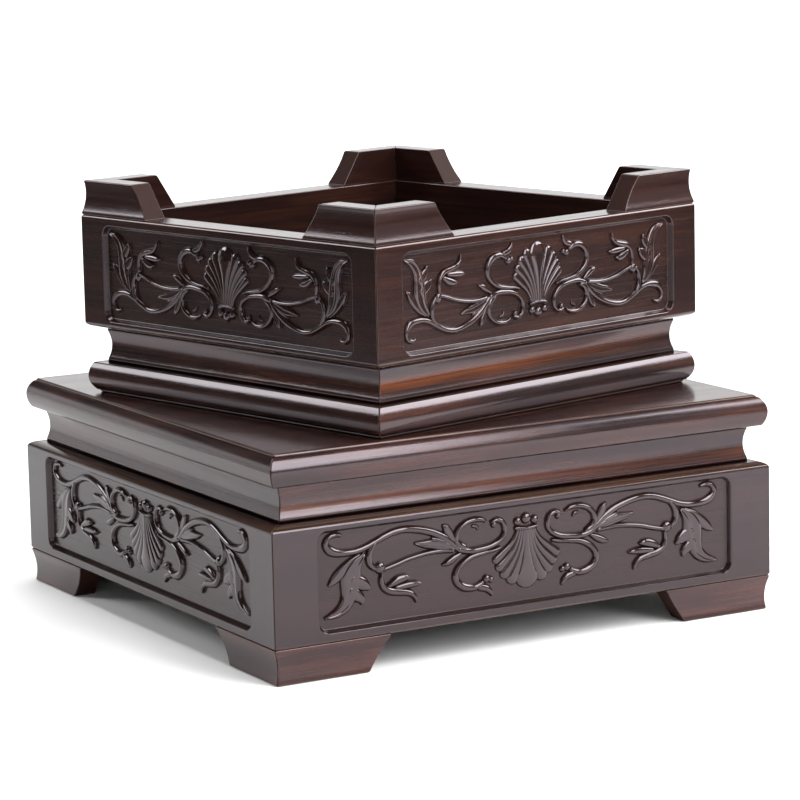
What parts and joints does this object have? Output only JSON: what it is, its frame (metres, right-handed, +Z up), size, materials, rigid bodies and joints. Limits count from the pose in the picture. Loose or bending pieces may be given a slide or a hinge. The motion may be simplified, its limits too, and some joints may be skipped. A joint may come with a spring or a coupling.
{
  "type": "pair of carved hardwood display stands",
  "caption": "Square blackwood display stand with carved sunk aprons and bracket feet, carrying a smaller matching stand laid upside down on its top.",
  "frame": {"origin": "centre of the lower stand's footprint, on the surface it stands on", "axes": "+Z up, -Y out of the lower stand's front, +X to the right seen from the front"},
  "size_m": [0.2, 0.2, 0.1556],
  "materials": {
    "blackwood": "dark polished blackwood with a semi-gloss oil and wax finish",
    "blackwood_brown": "red-brown polished blackwood, semi-gloss",
    "inner_wood": "plain planed wood inside, unpolished",
    "bamboo": "split bamboo pins, unpolished"
  },
  "bodies": {
    "lower_stand": {"lower_top_panel": "blackwood", "lower_cross_batten": "inner_wood", "lower_top_rail_front": "blackwood", "lower_top_rail_right": "blackwood", "lower_top_rail_back": "blackwood", "lower_top_rail_left": "blackwood", "lower_waist_front": "blackwood", "lower_waist_right": "blackwood", "lower_waist_back": "blackwood", "lower_waist_left": "blackwood", "lower_apron_front": "blackwood", "lower_apron_right": "blackwood", "lower_apron_back": "blackwood", "lower_apron_left": "blackwood", "lower_foot_front_left_front_wing": "blackwood_brown", "lower_foot_front_right_front_wing": "blackwood_brown", "lower_foot_front_right_right_wing": "blackwood_brown", "lower_foot_back_right_right_wing": "blackwood_brown", "lower_foot_back_right_back_wing": "blackwood_brown", "lower_foot_back_left_back_wing": "blackwood_brown", "lower_foot_back_left_left_wing": "blackwood_brown", "lower_foot_front_left_left_wing": "blackwood_brown", "lower_glue_block_front_left": "inner_wood", "lower_glue_block_front_right": "inner_wood", "lower_glue_block_back_right": "inner_wood", "lower_glue_block_back_left": "inner_wood", "lower_rail_splines": "inner_wood", "lower_apron_keys": "inner_wood", "lower_foot_pins": "bamboo"},
    "upper_stand": {"upper_top_panel": "blackwood", "upper_cross_batten": "inner_wood", "upper_top_rail_front": "blackwood", "upper_top_rail_right": "blackwood", "upper_top_rail_back": "blackwood", "upper_top_rail_left": "blackwood", "upper_waist_front": "blackwood", "upper_waist_right": "blackwood", "upper_waist_back": "blackwood", "upper_waist_left": "blackwood", "upper_apron_front": "blackwood", "upper_apron_right": "blackwood", "upper_apron_back": "blackwood", "upper_apron_left": "blackwood", "upper_foot_front_left_front_wing": "blackwood_brown", "upper_foot_front_right_front_wing": "blackwood_brown", "upper_foot_front_right_right_wing": "blackwood_brown", "upper_foot_back_right_right_wing": "blackwood_brown", "upper_foot_back_right_back_wing": "blackwood_brown", "upper_foot_back_left_back_wing": "blackwood_brown", "upper_foot_back_left_left_wing": "blackwood_brown", "upper_foot_front_left_left_wing": "blackwood_brown", "upper_glue_block_front_left": "inner_wood", "upper_glue_block_front_right": "inner_wood", "upper_glue_block_back_right": "inner_wood", "upper_glue_block_back_left": "inner_wood", "upper_rail_splines": "inner_wood", "upper_apron_keys": "inner_wood", "upper_foot_pins": "bamboo"}
  },
  "joints": [
    {"name": "upper_lift", "type": "slide", "parent": "lower_stand", "child": "upper_stand", "axis": [0, 0, 1], "range_m": [0, 0.12]}
  ]
}
